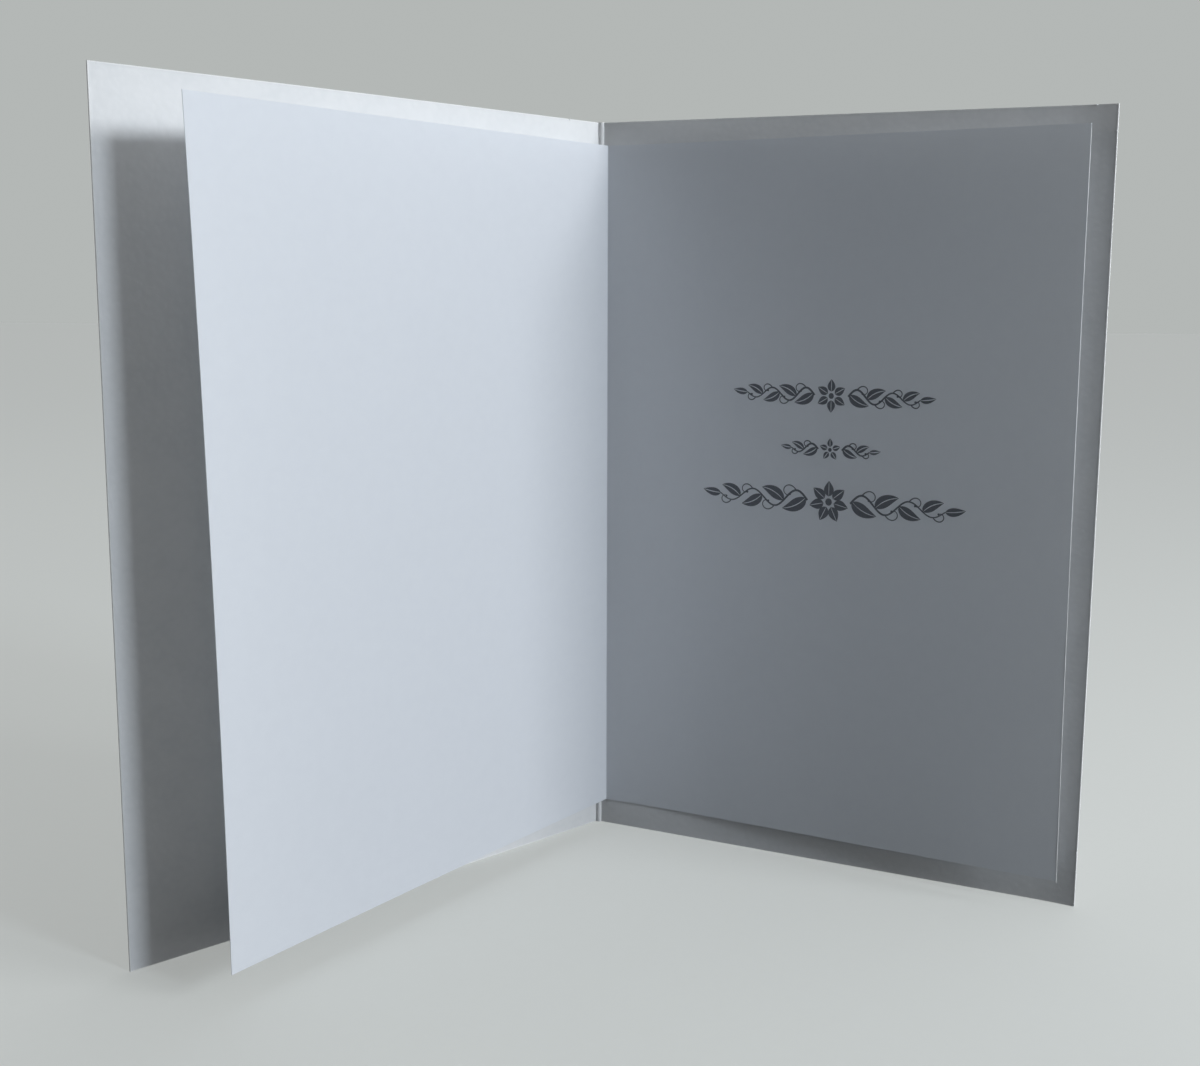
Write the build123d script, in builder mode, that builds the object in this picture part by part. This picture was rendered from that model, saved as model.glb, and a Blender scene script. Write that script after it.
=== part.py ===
from build123d import *
from math import cos, radians, sin, tan
import os

# Greeting card standing open on its cut foot, in millimetres.
# The origin is the foot of the cover's fold, on the table, at mid thickness.
# +Z is up and the card opens towards -Y: front panel to the left, back panel to the right.

# Cover: one sheet of stiff card, folded once
height = 148.0
panel_width = 102.0
card = 0.35
opening_angle = 111.3
front_bow_angle = 3.0
fore_curl_run = 8.0
fore_curl_angle = 5.0
cut_round = 0.14

# Scored crease of the cover: a bead pressed up on the inside, a shallow groove left outside.
# The sheet was folded beside the middle of its score, so the bead lies mostly on the back panel
bead_front_reach = 0.3
bead_back_reach = 0.9
bead_rise = 0.36
groove_half_width = 0.65
groove_depth = 0.06
crease_blend = 0.15
crease_zone = 1.2

# Insert: one sheet of thinner paper, folded once and fixed to the back panel beside its fold
paper = 0.15
leaf_width = 96.7
leaf_height = 138.05
foot_margin = 5.35
fold_setback = 2.5
askew_angle = 0.13
off_square_angle = 0.27
fold_radius = 0.25
paper_round = 0.06

# Spring of the insert's leaves, in degrees, at foot, middle and head of its fold: the angle that
# the front leaf stands clear of the front panel, and the lift of the back leaf off the back panel
clear_angle_foot = 9.5
clear_angle_middle = 8.8
clear_angle_head = 7.2
lift_angle_foot = 2.9
lift_angle_middle = 4.8
lift_angle_head = 5.0
lift_run = 16.0
front_curl_angle = 1.2
back_curl_angle = 0.3

# Adhesive strip between the insert's back leaf and the back panel
strip = 0.1
strip_width = 6.0
strip_setback = 1.5
strip_end_margin = 6.0

# Points closer together than this are one
same_place = 1e-6

# Headings in plan, in degrees from +X
back_heading = -90 + opening_angle / 2
front_heading = -90 - opening_angle / 2


def ahead(heading):
    """Unit vector of a heading in plan."""
    return Vector(cos(radians(heading)), sin(radians(heading)))


def follow(start, heading, runs, shift):
    """Draws one face of a bent sheet: its middle line, moved to the left by shift.

    runs lists (length, turn) along the middle line, with the turn in degrees, positive to the left.
    """
    at = start + ahead(heading + 90) * shift
    for length, turn in runs:
        if turn:
            radius = length / radians(turn) - shift
            piece = JernArc(at, ahead(heading), abs(radius), turn)
        else:
            piece = Line(at, at + ahead(heading) * length)
        at = piece @ 1
        heading += turn
    return at


def panel_faces(heading, runs):
    """Draws both faces and the cut fore edge of one cover panel; gives its inner and outer start."""
    start = ahead(heading) * crease_zone
    right_end = follow(start, heading, runs, -card / 2)
    left_end = follow(start, heading, runs, card / 2)
    Line(right_end, left_end)
    sides = [start + ahead(heading + 90) * shift for shift in (-card / 2, card / 2)]
    return sorted(sides, key=lambda point: point.Y)


def corners_beyond(sketch, distance):
    """Corners of a sheet's section further than distance from its fold."""
    return sketch.vertices().filter_by(lambda v: Vector(v).length > distance)


def corners_at(sketch, points):
    """Corners of a sheet's section that lie on the given points."""
    return [v for v in sketch.vertices() if any((Vector(v) - p).length < same_place for p in points)]


with BuildPart() as cover:
    with BuildSketch() as cover_section:
        with BuildLine():
            # The front panel is bowed all over; the back one is flat, and curls in at its fore edge
            run = panel_width - crease_zone
            front_inner, front_outer = panel_faces(front_heading, [(run, -front_bow_angle)])
            curl = (fore_curl_run, -fore_curl_angle)
            back_inner, back_outer = panel_faces(back_heading, [(run - fore_curl_run, 0), curl])
            # The faces' own corners at the fold, before it was scored
            corner = card / 2 / sin(radians(opening_angle / 2))
            headings = (front_heading, back_heading)
            reaches = (bead_front_reach, bead_back_reach)
            beads = [Vector(0, -corner) + ahead(h) * reach for h, reach in zip(headings, reaches)]
            crest = (beads[0] + beads[1]) / 2 - Vector(0, bead_rise)
            grooves = [Vector(0, corner) + ahead(h) * groove_half_width for h in headings]
            Line(front_inner, beads[0])
            ThreePointArc(beads[0], crest, beads[1])
            Line(beads[1], back_inner)
            Line(front_outer, grooves[0])
            ThreePointArc(grooves[0], Vector(0, grooves[0].Y - groove_depth), grooves[1])
            Line(grooves[1], back_outer)
        make_face()
        fillet(corners_at(cover_section, beads + grooves), crease_blend)
        fillet(corners_beyond(cover_section, panel_width - fore_curl_run / 2), cut_round)
    extrude(amount=height)

# The insert is pasted a little askew, turned in the plane of the back panel, and was folded off
# square: the rows of its back leaf climb away from the fold, and those of its front leaf fall
back_panel = Plane((0, 0, 0), x_dir=ahead(back_heading), z_dir=(0, 0, 1))
seat = card / 2 + strip + paper / 2
insert_foot = back_panel.from_local_coords((fold_setback, -seat, foot_margin))
across_panel = Axis((0, 0, 0), back_panel.y_dir)
fold_line = back_panel.z_dir.rotate(across_panel, -askew_angle)
leaf_line = back_panel.x_dir.rotate(across_panel, -askew_angle)
insert_plane = Plane(insert_foot, x_dir=leaf_line, z_dir=fold_line)
row = insert_plane.x_dir.rotate(across_panel, -off_square_angle)
row_roll = off_square_angle / tan(radians((opening_angle - clear_angle_middle) / 2))
row_normal = fold_line.rotate(across_panel, -off_square_angle).rotate(Axis((0, 0, 0), row), row_roll)
held = strip_setback + strip_width

with BuildPart() as insert:
    springs = [
        (0, clear_angle_foot, lift_angle_foot),
        (leaf_height / 2, clear_angle_middle, lift_angle_middle),
        (leaf_height, clear_angle_head, lift_angle_head),
    ]
    for level, clear, lift in springs:
        # The fold holds the leaves a little less open than the cover stands
        fold = opening_angle - clear
        fold_point = insert_plane.from_local_coords((0, 0, level))
        with BuildSketch(Plane(fold_point, x_dir=row, z_dir=row_normal)) as insert_section:
            # The middle line leaves the strip's inner edge both ways: flat and lifting to the
            # back leaf's fore edge, and round the fold to the front leaf's fore edge
            bend = fold_radius * radians(180 - fold)
            flat = leaf_width - bend / 2
            front_runs = [(strip_setback, 0), (bend, 180 - fold), (flat, front_curl_angle)]
            back_runs = [(strip_width, 0), (lift_run, -lift), (flat - held - lift_run, back_curl_angle)]
            start = Vector(strip_setback, 0)
            with BuildLine():
                ends = [follow(start, 180, front_runs, shift) for shift in (paper / 2, -paper / 2)]
                Line(*ends)
                ends = [follow(start, 0, back_runs, shift) for shift in (paper / 2, -paper / 2)]
                Line(*ends)
            make_face()
            fillet(corners_beyond(insert_section.sketch_local, leaf_width / 2), paper_round)
    loft()

with BuildPart() as adhesive_strip:
    strip_start = insert_plane.from_local_coords((0, paper / 2, 0))
    with BuildSketch(Plane(strip_start, insert_plane.x_dir, insert_plane.y_dir)):
        with Locations((strip_setback + strip_width / 2, -leaf_height / 2)):
            Rectangle(strip_width, leaf_height - 2 * strip_end_margin)
    extrude(amount=strip)

cover.part.label = "cover"
insert.part.label = "insert"
adhesive_strip.part.label = "adhesive_strip"

os.makedirs("parts", exist_ok=True)
export_step(cover.part, "parts/cover.step")
export_step(insert.part, "parts/insert.step")
export_step(adhesive_strip.part, "parts/adhesive_strip.step")
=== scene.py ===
from math import cos, pi, radians, sin, tan

import bmesh
import bpy
import numpy as np
from mathutils import Matrix, Vector
from mathutils.bvhtree import BVHTree


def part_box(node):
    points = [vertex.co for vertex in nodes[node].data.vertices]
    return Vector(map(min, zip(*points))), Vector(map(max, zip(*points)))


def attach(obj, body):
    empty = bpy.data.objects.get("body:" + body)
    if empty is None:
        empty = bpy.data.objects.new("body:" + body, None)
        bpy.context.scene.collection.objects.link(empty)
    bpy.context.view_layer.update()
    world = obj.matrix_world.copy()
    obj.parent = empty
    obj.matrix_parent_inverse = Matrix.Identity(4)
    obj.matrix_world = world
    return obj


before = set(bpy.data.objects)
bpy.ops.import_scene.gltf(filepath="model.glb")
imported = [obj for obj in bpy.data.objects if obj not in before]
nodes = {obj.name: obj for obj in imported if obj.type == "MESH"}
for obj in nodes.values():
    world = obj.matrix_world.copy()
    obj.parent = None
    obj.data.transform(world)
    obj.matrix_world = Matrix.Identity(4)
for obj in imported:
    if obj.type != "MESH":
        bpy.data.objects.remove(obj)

# A plain greeting card standing open: a folded cover of textured card, with a folded
# insert of smooth paper. Metres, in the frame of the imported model: the origin is the
# foot of the cover's fold, +Z is up and the card opens towards -Y.

MM = 0.001
scene = bpy.context.scene
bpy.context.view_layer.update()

# Cover: its fold in plan, the reach of both panels from it, and the level of its head
COVER_FOLD = (0, 0, 0)
COVER_REACH = 101.9 * MM
COVER_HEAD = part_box("cover")[1].z
BACK_HEADING = -34.35
FRONT_HEADING = -145.65

# Insert: its fold and the back leaf's fore edge in plan, the leaves' reach, and the levels
# that its askew foot and head run close to
LEAF_FOLD = Vector((1.87, -1.70, 0)) * MM
LEAF_EDGE = Vector((77.5, -61.3, 0)) * MM
LEAF_REACH = 96.7 * MM
LEAF_FOOT = 5.1 * MM
LEAF_HEAD = 143.7 * MM

# Camera, where the photograph was taken from: its angles are in degrees, its lens and sensor
# in millimetres, and its shift in widths of the picture
EYE = Vector((-35.71, -290.64, 114.39)) * MM
TURN = -11.349
TILT = 81.627
ROLL = 0.859
LENS = 41.983
SENSOR = 36
SHIFT = (-0.08644, -0.02922)
NEAREST = 5 * MM


def turned(angle, axis):
    """A turn about an axis, in degrees."""
    return Matrix.Rotation(radians(angle), 4, axis)


camera = bpy.data.objects.new("camera", bpy.data.cameras.new("camera"))
scene.collection.objects.link(camera)
scene.camera = camera
camera.location = EYE
camera.rotation_euler = (turned(TURN, "Z") @ turned(TILT, "X") @ turned(ROLL, "Z")).to_euler()
camera.data.sensor_fit = "HORIZONTAL"
camera.data.sensor_width = SENSOR
camera.data.lens = LENS
camera.data.shift_x, camera.data.shift_y = SHIFT
camera.data.clip_start = NEAREST

# A Mix node has one set of sockets for each kind of value. These are the ones for colours
MIX_FIRST, MIX_SECOND, MIX_RESULT = 6, 7, 2

# Nearly all of a noise pattern lies between these
LOW, HIGH = 0.3, 0.7


class Nodes:
    """Short ways to add nodes to a tree."""

    def __init__(self, tree):
        self.tree = tree

    def node(self, kind, **settings):
        made = self.tree.nodes.new(kind)
        for key, value in settings.items():
            setattr(made, key, value)
        return made

    def feed(self, socket, value):
        """Links a socket to the output that value is, or sets it to the number or colour."""
        if isinstance(value, bpy.types.NodeSocket):
            self.tree.links.new(value, socket)
        else:
            socket.default_value = value

    def math(self, operation, *values):
        made = self.node("ShaderNodeMath", operation=operation)
        for socket, value in zip(made.inputs, values):
            self.feed(socket, value)
        return made.outputs[0]

    def vector(self, operation, *values):
        made = self.node("ShaderNodeVectorMath", operation=operation)
        for socket, value in zip(made.inputs, values):
            self.feed(socket, value)
        return made.outputs["Value" if operation == "LENGTH" else "Vector"]

    def scaled(self, vector, factor):
        made = self.node("ShaderNodeVectorMath", operation="SCALE")
        self.feed(made.inputs[0], vector)
        self.feed(made.inputs["Scale"], factor)
        return made.outputs["Vector"]

    def blend(self, share, first, second):
        """A colour between first and second."""
        made = self.node("ShaderNodeMix", data_type="RGBA")
        self.feed(made.inputs["Factor"], share)
        self.feed(made.inputs[MIX_FIRST], first)
        self.feed(made.inputs[MIX_SECOND], second)
        return made.outputs[MIX_RESULT]

    def seen_straight(self):
        """1 for what is seen, straight on, in gloss or through glass; 0 for light that lands on the card."""
        ray = self.node("ShaderNodeLightPath")
        seen = ray.outputs["Is Camera Ray"]
        for name in ("Is Glossy Ray", "Is Transmission Ray"):
            seen = self.math("MAXIMUM", seen, ray.outputs[name])
        return seen


class Surface(Nodes):
    """A node material with one Principled shader, and the patterns that it is built from."""

    def __init__(self, name):
        self.material = bpy.data.materials.new(name)
        self.material.use_nodes = True
        super().__init__(self.material.node_tree)
        self.shader = self.tree.nodes["Principled BSDF"]
        self.place = self.node("ShaderNodeTexCoord").outputs["Object"]

    def give(self, name, value):
        """Sets or feeds one of the shader's own sockets."""
        self.feed(self.shader.inputs[name], value)

    def noise(self, size, detail=2.0, roughness=0.5, stretch=None):
        """Noise between 0 and 1 with features about size across, in metres."""
        where = self.place
        if stretch:
            mapping = self.node("ShaderNodeMapping")
            self.feed(mapping.inputs["Vector"], where)
            self.feed(mapping.inputs["Scale"], stretch)
            where = mapping.outputs[0]
        made = self.node("ShaderNodeTexNoise")
        self.feed(made.inputs["Vector"], where)
        self.feed(made.inputs["Scale"], 1 / size)
        self.feed(made.inputs["Detail"], detail)
        self.feed(made.inputs["Roughness"], roughness)
        return made.outputs["Fac"]

    def ramp(self, value, low, high, to_low=0.0, to_high=1.0):
        """A smooth step: to_low below low, to_high above high."""
        made = self.node("ShaderNodeMapRange", interpolation_type="SMOOTHSTEP")
        self.feed(made.inputs["Value"], value)
        self.feed(made.inputs["From Min"], low)
        self.feed(made.inputs["From Max"], high)
        self.feed(made.inputs["To Min"], to_low)
        self.feed(made.inputs["To Max"], to_high)
        return made.outputs["Result"]

    def bump(self, height, depth, over=None):
        """Normal of a relief that is depth high, in metres, where height goes from 0 to 1."""
        made = self.node("ShaderNodeBump")
        self.feed(made.inputs["Strength"], 1.0)
        self.feed(made.inputs["Distance"], depth)
        self.feed(made.inputs["Height"], height)
        if over:
            self.feed(made.inputs["Normal"], over)
        return made.outputs["Normal"]

    def let_light_through(self, share, tone):
        """A share of the light that falls on the sheet enters it, and leaves by either face."""
        through = self.node("ShaderNodeBsdfTranslucent")
        self.feed(through.inputs["Color"], tone)
        both = self.node("ShaderNodeMixShader")
        self.feed(both.inputs["Fac"], share)
        self.feed(both.inputs[1], self.shader.outputs[0])
        self.feed(both.inputs[2], through.outputs[0])
        self.feed(self.tree.nodes["Material Output"].inputs["Surface"], both.outputs[0])

    def distance(self, origin):
        """Distance in plan from a point, in metres."""
        offset = self.vector("SUBTRACT", self.place, origin)
        flat = self.vector("MULTIPLY", offset, (1, 1, 0))
        return self.vector("LENGTH", flat)

    def height(self):
        parts = self.node("ShaderNodeSeparateXYZ")
        self.feed(parts.inputs[0], self.place)
        return parts.outputs["Z"]


def srgb(red, green, blue):
    """A colour written as 0 to 1 screen values, for a shader."""
    values = [v / 12.92 if v <= 0.04045 else ((v + 0.055) / 1.055) ** 2.4 for v in (red, green, blue)]
    return (*values, 1.0)


def sheet_edges(surface, fold, width, low, high, reach):
    """1 at a folded sheet's cut edges, falling to 0 at reach inside them."""
    out = surface.distance(fold)
    up = surface.height()
    fore = surface.ramp(out, width - reach, width)
    head = surface.ramp(up, high - reach, high)
    foot = surface.ramp(up, low + reach, low)
    return surface.math("MAXIMUM", fore, surface.math("MAXIMUM", head, foot))


def cover_edges(surface, reach):
    return sheet_edges(surface, COVER_FOLD, COVER_REACH, 0, COVER_HEAD, reach)


def felt_swellings(surface, size, wander_size, wander):
    """Low rounded swellings about size across, bent out of shape by a slow wander."""
    noise = surface.node("ShaderNodeTexNoise")
    surface.feed(noise.inputs["Vector"], surface.place)
    surface.feed(noise.inputs["Scale"], 1 / wander_size)
    drift = surface.scaled(noise.outputs["Color"], wander)
    swell = surface.node("ShaderNodeTexVoronoi", feature="SMOOTH_F1")
    surface.feed(swell.inputs["Vector"], surface.vector("ADD", surface.place, drift))
    surface.feed(swell.inputs["Scale"], 1 / size)
    surface.feed(swell.inputs["Smoothness"], 0.8)
    return surface.math("SUBTRACT", 1.0, swell.outputs["Distance"])


def textured_card():
    """White card, felt marked: low rounded swellings about a millimetre across, over fibre."""
    s = Surface("textured_card")
    felt = felt_swellings(s, 1.15 * MM, 1.6 * MM, 0.9 * MM)
    fibre = s.noise(0.16 * MM, detail=3.0, roughness=0.6)
    cloud = s.noise(7 * MM, detail=3.0)
    # The cut edges are handled half a millimetre in, and bare at the cut itself, which is whiter: partly the
    # bare fibre's own tone, partly a painted highlight along the cut
    edge = cover_edges(s, 0.5 * MM)
    raw_and_highlight = cover_edges(s, 0.25 * MM)
    rub = s.math("MULTIPLY", edge, s.ramp(s.noise(1.2 * MM, detail=5.0), 0.4, 0.7))
    crease = s.ramp(s.distance(COVER_FOLD), 1.3 * MM, 0.3 * MM)
    tone = s.blend(s.ramp(cloud, LOW, HIGH), srgb(0.895, 0.90, 0.905), srgb(0.912, 0.915, 0.918))
    layers = (
        (s.ramp(felt, 0.2, 0.75), 0.35, srgb(0.93, 0.932, 0.936)),
        (rub, 0.18, srgb(0.82, 0.82, 0.81)),
        # Whiter at the cut: bare fibre, together with a painted highlight along the edge
        (raw_and_highlight, 0.8, srgb(0.97, 0.97, 0.965)),
        (crease, 0.4, srgb(0.90, 0.90, 0.90)),
    )
    for where, share, colour in layers:
        tone = s.blend(s.math("MULTIPLY", where, share), tone, colour)
    s.give("Base Color", tone)
    s.give("Roughness", s.ramp(fibre, LOW, HIGH, 0.82, 0.95))
    s.give("Specular IOR Level", 0.25)
    s.let_light_through(0.04, srgb(0.97, 0.97, 0.965))
    relief = s.bump(felt, 0.03 * MM)
    relief = s.bump(fibre, 0.006 * MM, relief)
    fray = s.math("MULTIPLY", edge, s.noise(0.3 * MM, detail=4.0))
    s.give("Normal", s.bump(fray, 0.05 * MM, relief))
    return s.material


def insert_paper():
    """Smooth white writing paper with a cool tint: faint clouds and fine fibre."""
    s = Surface("insert_paper")
    cloud = s.noise(2.2 * MM, detail=4.0, roughness=0.6)
    fibre = s.noise(0.12 * MM, detail=3.0, roughness=0.65, stretch=(1, 1, 0.35))
    edge = sheet_edges(s, LEAF_FOLD, LEAF_REACH, LEAF_FOOT, LEAF_HEAD, 0.8 * MM)
    rub = s.math("MULTIPLY", edge, s.ramp(cloud, 0.4, 0.7, 0.0, 0.2))
    tone = s.blend(s.ramp(cloud, LOW, HIGH), srgb(0.908, 0.921, 0.945), srgb(0.915, 0.928, 0.951))
    s.give("Base Color", s.blend(rub, tone, srgb(0.84, 0.86, 0.88)))
    s.give("Roughness", s.ramp(fibre, LOW, HIGH, 0.7, 0.85))
    s.give("Specular IOR Level", 0.3)
    s.let_light_through(0.30, srgb(0.965, 0.967, 0.967))
    s.give("Normal", s.bump(fibre, 0.003 * MM, s.bump(cloud, 0.003 * MM)))
    return s.material


def adhesive_film():
    """Clear double-sided tape, slightly yellowed and cloudy."""
    s = Surface("adhesive_film")
    cloud = s.noise(1.5 * MM, detail=3.0)
    tone = s.blend(s.ramp(cloud, LOW, HIGH), srgb(0.93, 0.93, 0.90), srgb(0.95, 0.95, 0.93))
    s.give("Base Color", tone)
    s.give("Roughness", s.ramp(cloud, LOW, HIGH, 0.3, 0.5))
    s.give("Normal", s.bump(cloud, 0.01 * MM))
    s.let_light_through(0.85, srgb(0.98, 0.98, 0.97))
    return s.material


def printing_ink():
    """Dark grey ink, a little uneven where the paper took it up."""
    s = Surface("printing_ink")
    grain = s.noise(0.15 * MM, detail=3.0)
    tone = s.blend(s.ramp(grain, 0.3, 0.75), (0.085, 0.093, 0.112, 1), (0.135, 0.145, 0.165, 1))
    s.give("Base Color", tone)
    s.give("Roughness", s.ramp(grain, LOW, HIGH, 0.5, 0.75))
    s.give("Normal", s.bump(grain, 0.003 * MM))
    return s.material


def raw_fibre():
    """Bare fibre at a cut, whiter and rougher than the faces."""
    s = Surface("raw_fibre")
    fuzz = s.noise(0.08 * MM, detail=3.0)
    tone = s.blend(s.ramp(fuzz, LOW, HIGH), srgb(0.94, 0.945, 0.95), srgb(0.98, 0.98, 0.98))
    s.give("Base Color", tone)
    s.give("Roughness", s.ramp(fuzz, LOW, HIGH, 0.85, 0.95))
    s.give("Normal", s.bump(fuzz, 0.01 * MM))
    return s.material


def dress(node, material):
    for place in nodes[node].material_slots:
        place.material = material


dress("cover", textured_card())
dress("insert", insert_paper())
dress("adhesive_strip", adhesive_film())

# Places on the back leaf are written as (millimetres from its fold, millimetres above the
# table), and looked for on its face from a little way off
LEAF_ALONG = (LEAF_EDGE - LEAF_FOLD).normalized()
LEAF_OUT = Vector((LEAF_ALONG.y, -LEAF_ALONG.x, 0))
LOOK_FROM = 5 * MM

surroundings = bpy.context.evaluated_depsgraph_get()
leaf_surface = BVHTree.FromObject(nodes["insert"], surroundings)
cover_surface = BVHTree.FromObject(nodes["cover"], surroundings)


def on_leaf(x, z, off):
    """The point of the back leaf's face at (x, z) in millimetres, lifted off it by off."""
    start = LEAF_FOLD + LEAF_ALONG * x * MM + Vector((0, 0, z * MM)) + LEAF_OUT * LOOK_FROM
    hit = leaf_surface.ray_cast(start, -LEAF_OUT)[0]
    return hit + LEAF_OUT * off * MM


def skin(mesh, rings):
    """Closes a row of rings of vertices into one skin, with both ends capped."""
    for one, two in zip(rings, rings[1:]):
        for i in range(len(one)):
            j = (i + 1) % len(one)
            mesh.faces.new((one[i], one[j], two[j], two[i]))
    mesh.faces.new(rings[0][::-1])
    mesh.faces.new(rings[-1])


def closed_piece(name, mesh, material):
    """Makes a closed form into a piece of the card, with its finish."""
    bmesh.ops.recalc_face_normals(mesh, faces=mesh.faces)
    data = bpy.data.meshes.new(name)
    mesh.to_mesh(data)
    mesh.free()
    piece = bpy.data.objects.new(name, data)
    scene.collection.objects.link(piece)
    data.materials.append(material)
    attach(piece, "root")


# Printed ornament, in millimetres: the middle of its rows, from the fold, and half the ink's
# thickness. Each corner of a stroke's section is on the left or right side of it, and lies
# above or below the leaf's face
ROW_CENTRE = 49.4
INK = 0.012
SLAB_CORNERS = ((0, INK), (1, INK), (1, -INK), (0, -INK))

# The angle at which leaves and curls spring from their stem
SPRING = radians(50)


class Print:
    """Ink laid on the leaf as thin closed forms, drawn in millimetres about a row's middle."""

    def __init__(self, level):
        self.level = level
        self.mesh = bmesh.new()

    def slab(self, pairs):
        """A closed slab of ink between the left and right points of each pair."""
        rings = []
        for pair in pairs:
            ring = []
            for side, off in SLAB_CORNERS:
                x, z = pair[side]
                ring.append(self.mesh.verts.new(on_leaf(ROW_CENTRE + x, self.level + z, off)))
            rings.append(ring)
        skin(self.mesh, rings)

    def stroke(self, line, widths):
        """A stroke along a line of points, as wide at each as widths says."""
        line = np.array(line, float)
        run = np.gradient(line, axis=0)
        run /= np.linalg.norm(run, axis=1)[:, None]
        side = np.column_stack([-run[:, 1], run[:, 0]]) * np.array(widths, float)[:, None] / 2
        self.slab(list(zip((line + side).tolist(), (line - side).tolist())))


def leaf(row, at, angle, length, width, bend, rib=0.20):
    """A pointed leaf that curves by bend as it runs out, its midrib left bare."""
    least = 0.03
    t = np.linspace(0, 1, 13)
    heading = angle + bend * t
    run = np.column_stack([np.cos(heading), np.sin(heading)]) * (length / (len(t) - 1))
    spine = np.array(at) + np.cumsum(run, axis=0) - run[0]
    side = np.column_stack([-np.sin(heading), np.cos(heading)])
    half = width / 2 * np.sin(pi * t ** 0.75) ** 0.85
    gap = rib / 2 * np.sin(pi * t) ** 0.5
    for hand in (1, -1):
        inner = spine + hand * side * np.minimum(gap, half * 0.5)[:, None]
        outer = spine + hand * side * np.maximum(half, least)[:, None]
        row.slab(list(zip(outer.tolist(), inner.tolist())))


def berry(row, at, radius):
    """A round drop, drawn as a slab that swells and closes."""
    least = 0.01
    t = np.linspace(-1, 1, 11)
    half = radius * np.sqrt(1 - t ** 2) + least
    across = at[0] + radius * t
    row.slab([((x, at[1] + h), (x, at[1] - h)) for x, h in zip(across, half)])


def tendril(row, at, angle, length, turns, width):
    """A fine curl that winds ever tighter and ends in a drop."""
    t = np.linspace(0, 1, 30)
    heading = angle + turns * 2 * pi * t ** 1.5
    run = np.column_stack([np.cos(heading), np.sin(heading)]) * length / (len(t) - 1)
    line = np.array(at) + np.cumsum(run, axis=0)
    row.stroke(line, width * (1 - 0.35 * t))
    berry(row, line[-1], width * 0.85)


def vine(row, hand, start, length, tall, count):
    """A wavy stem that runs out from the middle, with a leaf and a curl in each hollow."""
    def stem(share):
        swing = tall * 0.17 * (1 - 0.4 * share)
        return np.array([hand * (start + share * length), swing * sin(pi * count * share)])

    def mirrored(angle):
        return angle if hand > 0 else pi - angle

    t = np.linspace(0, 1, 72)
    row.stroke([stem(share) for share in t], 0.42 - 0.2 * t)
    for i in range(count):
        up = -1 if i % 2 else 1
        # The leaf springs just past the stem's crossing, and the curl from its crest
        share = (i + 0.08) / count
        size = tall * (0.52 - 0.13 * share)
        leaf(row, stem(share), mirrored(-up * SPRING), size, size * 0.44, hand * up * radians(44))
        share = (i + 0.5) / count
        size = tall * (0.50 - 0.14 * share)
        tendril(row, stem(share), mirrored(up * SPRING), size, -up * hand * 0.72, 0.24)
    leaf(row, stem(1.0), mirrored(0), tall * 0.36, tall * 0.15, 0.25 * hand)


def rosette(row, radius, petals):
    """A flower of pointed petals round a berry."""
    for k in range(petals):
        angle = 2 * pi * k / petals + pi / 2
        at = np.array([cos(angle), sin(angle)]) * radius * 0.27
        leaf(row, at, angle, radius * 0.73, radius * 0.5, bend=0.0, rib=0.16)
    berry(row, (0, 0), radius * 0.17)


# Each row: its name and level, the flower's radius and petals, and the vines' start, length,
# height and number of hollows
ROWS = (
    ("ornament_upper", 95.0, 3.2, 6, 3.5, 14.4, 8.6, 4),
    ("ornament_middle", 84.6, 2.2, 5, 2.5, 5.6, 6.4, 2),
    ("ornament_lower", 74.4, 4.1, 7, 4.5, 19.0, 11.0, 4),
)
ink = printing_ink()
for name, level, radius, petals, start, length, tall, count in ROWS:
    row = Print(level)
    rosette(row, radius, petals)
    for hand in (1, -1):
        vine(row, hand, start, length, tall, count)
    closed_piece(name, row.mesh, ink)

# Cut edges. The guillotine left a fine burr down the back leaf's fore edge. Its middle is sunk
# into the edge by a share of its radius, which varies by about another share from ring to ring
BURR = 0.075 * MM
BURR_SIDES = 6
BURR_RINGS = 160
BURR_MARGIN = 0.9 * MM
PAST_EDGE = 100 * MM
BURR_SINK = 0.4
BURR_UNEVEN = 0.12

fibre = raw_fibre()
seeded = np.random.default_rng(7)


def burr_ring(mesh, level):
    """A ring of the burr on the back leaf's fore edge, its radius a little uneven."""
    beyond = LEAF_FOLD + LEAF_ALONG * PAST_EDGE + Vector((0, 0, level))
    at = leaf_surface.find_nearest(beyond)[0] - LEAF_ALONG * BURR_SINK * BURR
    radius = BURR * (1 + BURR_UNEVEN * seeded.standard_normal())
    angles = [2 * pi * k / BURR_SIDES for k in range(BURR_SIDES)]
    return [mesh.verts.new((at.x + radius * cos(a), at.y + radius * sin(a), level)) for a in angles]


leaf_low, leaf_high = (corner.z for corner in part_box("insert"))
burr = bmesh.new()
levels = np.linspace(leaf_low + BURR_MARGIN, leaf_high - BURR_MARGIN, BURR_RINGS)
skin(burr, [burr_ring(burr, level) for level in levels])
closed_piece("leaf_edge_burr", burr, fibre)

# Nicks of the cover's edges, where a speck of fibre stands out: each is written as
# (millimetres from the fold, below 0 on the front panel; millimetres above the table; size)
NICKS = (
    (102, 143.3, 0.34),
    (102, 140.6, 0.26),
    (102, 10.7, 0.3),
    (102, 6.9, 0.24),
    (102, 0.5, 0.3),
    (98.1, 147.9, 0.3),
    (-8.1, 147.9, 0.3),
)
SPECK_UNEVEN = 0.22
INWARD_X = 0.56
INWARD_Y = -0.83
NICK_REACH = 2 * MM


def nick_place(out, level):
    """The point of the cover's inside that is nearest to where a nick is written."""
    heading = radians(BACK_HEADING if out > 0 else FRONT_HEADING)
    inward = Vector((-INWARD_X if out > 0 else INWARD_X, INWARD_Y, 0))
    along = Vector((cos(heading), sin(heading), 0)) * abs(out) * MM
    return cover_surface.find_nearest(along + inward * NICK_REACH + Vector((0, 0, level * MM)))[0]


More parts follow.
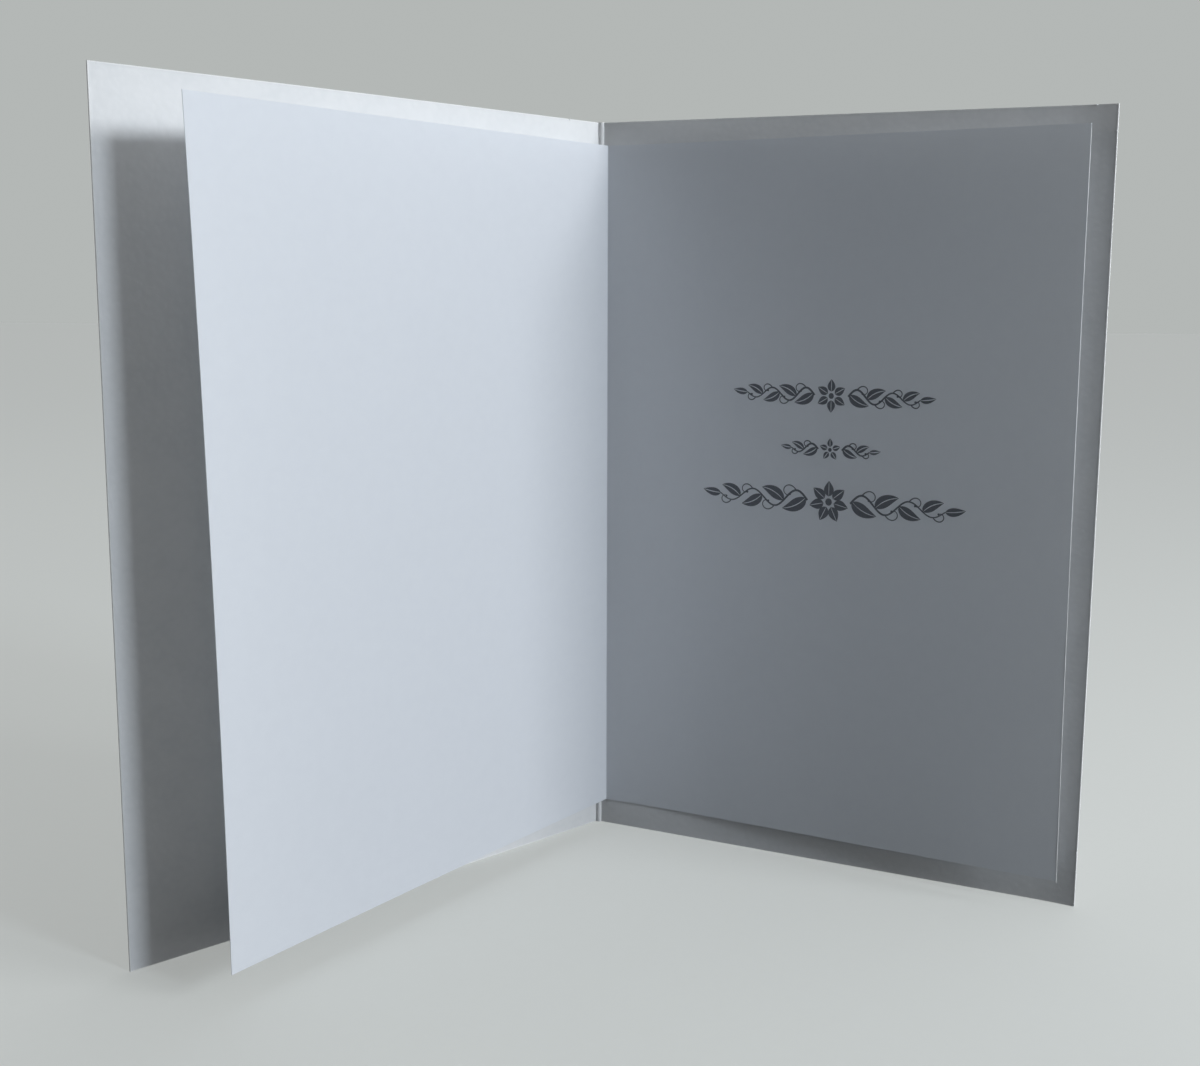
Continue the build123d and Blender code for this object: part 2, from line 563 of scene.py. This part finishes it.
specks = bmesh.new()
for out, level, size in NICKS:
    at = nick_place(out, level)
    place = Matrix.Translation(at)
    speck = bmesh.ops.create_icosphere(specks, subdivisions=2, radius=size / 2 * MM, matrix=place)
    for v in speck["verts"]:
        v.co = at + (v.co - at) * (1 + SPECK_UNEVEN * seeded.standard_normal())
closed_piece("edge_nicks", specks, fibre)

# Stage: a pale floor that glows where it is seen, and a backdrop in the tone that this floor
# takes far away. Light that the floor throws back on the card comes from a dark one, as in
# the photograph
PALE = srgb(0.725, 0.735, 0.725)
BACKDROP = srgb(0.705, 0.72, 0.713)
FLOOR_BOUNCE = srgb(0.20, 0.215, 0.21)
FLOOR_GLOW = 0.654
FLOOR_REACH = 4.0


def pale_floor():
    s = Surface("floor")
    seen = s.seen_straight()
    grain = s.ramp(s.noise(2 * MM, detail=3.0), LOW, HIGH, 0.0, 0.25)
    tone = s.blend(grain, srgb(0.625, 0.635, 0.63), srgb(0.615, 0.625, 0.62))
    s.give("Base Color", s.blend(seen, FLOOR_BOUNCE, tone))
    s.give("Roughness", 0.9)
    s.give("Specular IOR Level", 0.1)
    s.give("Emission Color", PALE)
    s.give("Emission Strength", s.math("MULTIPLY", seen, FLOOR_GLOW))
    return s.material


floor_mesh = bpy.data.meshes.new("floor")
corners = [(x * FLOOR_REACH, y * FLOOR_REACH, 0) for x, y in ((-1, -1), (1, -1), (1, 1), (-1, 1))]
floor_mesh.from_pydata(corners, [], [(0, 1, 2, 3)])
floor = bpy.data.objects.new("floor", floor_mesh)
floor_mesh.materials.append(pale_floor())
scene.collection.objects.link(floor)

# Lamps: name, heading and rise in degrees, distance from the point that they face, width and
# height as angles in degrees, power and tint
LIT_POINT = Vector((0, -0.03, 0.075))
LAMPS = (
    ("window", -32.2, 21.5, 0.62, 16, 10, 1.75, (0.975, 1.0, 1.02)),
    ("window_side", -45, 19.5, 2.0, 8, 9, 12.5, (0.91, 1.0, 1.09)),
    ("room", -84, 21, 0.9, 14, 10, 0.19, (1.05, 1.0, 0.93)),
    ("room_behind", 168, 6, 0.9, 45, 10, 1.3, (1.0, 1.0, 0.98)),
)


def soft_lamp(name, heading, rise, distance, wide, tall, power, tint):
    """A rectangular lamp that faces the card from a heading and rise."""
    lamp = bpy.data.objects.new(name, bpy.data.lights.new(name, "AREA"))
    lamp.data.color = tint
    lamp.data.shape = "RECTANGLE"
    lamp.data.size = 2 * distance * tan(radians(wide / 2))
    lamp.data.size_y = 2 * distance * tan(radians(tall / 2))
    lamp.data.energy = power
    toward = Vector((cos(radians(heading)), sin(radians(heading)), tan(radians(rise)))).normalized()
    lamp.location = LIT_POINT + toward * distance
    lamp.rotation_euler = toward.to_track_quat("Z", "Y").to_euler()
    scene.collection.objects.link(lamp)


for lamp in LAMPS:
    soft_lamp(*lamp)

# World: what is seen of it is the backdrop. Its light comes mostly from +X, and less from +Y
SKY_BASE = 0.02
SKY_SHARES = (("X", 0.97), ("Y", 0.55), ("Z", 0.03))
SKY_TINT = (0.965, 1.0, 1.03)

world = bpy.data.worlds.new("world")
scene.world = world
world.use_nodes = True
sky = Nodes(world.node_tree)
direction = sky.node("ShaderNodeSeparateXYZ")
sky.feed(direction.inputs[0], sky.node("ShaderNodeTexCoord").outputs["Generated"])
glow = SKY_BASE
for axis, share in SKY_SHARES:
    glow = sky.math("MULTIPLY_ADD", sky.math("MAXIMUM", direction.outputs[axis], 0.0), share, glow)
seen_colour = sky.blend(sky.seen_straight(), sky.scaled(SKY_TINT, glow), BACKDROP)
sky.feed(sky.tree.nodes["Background"].inputs["Color"], seen_colour)

scene.view_settings.view_transform = "Standard"
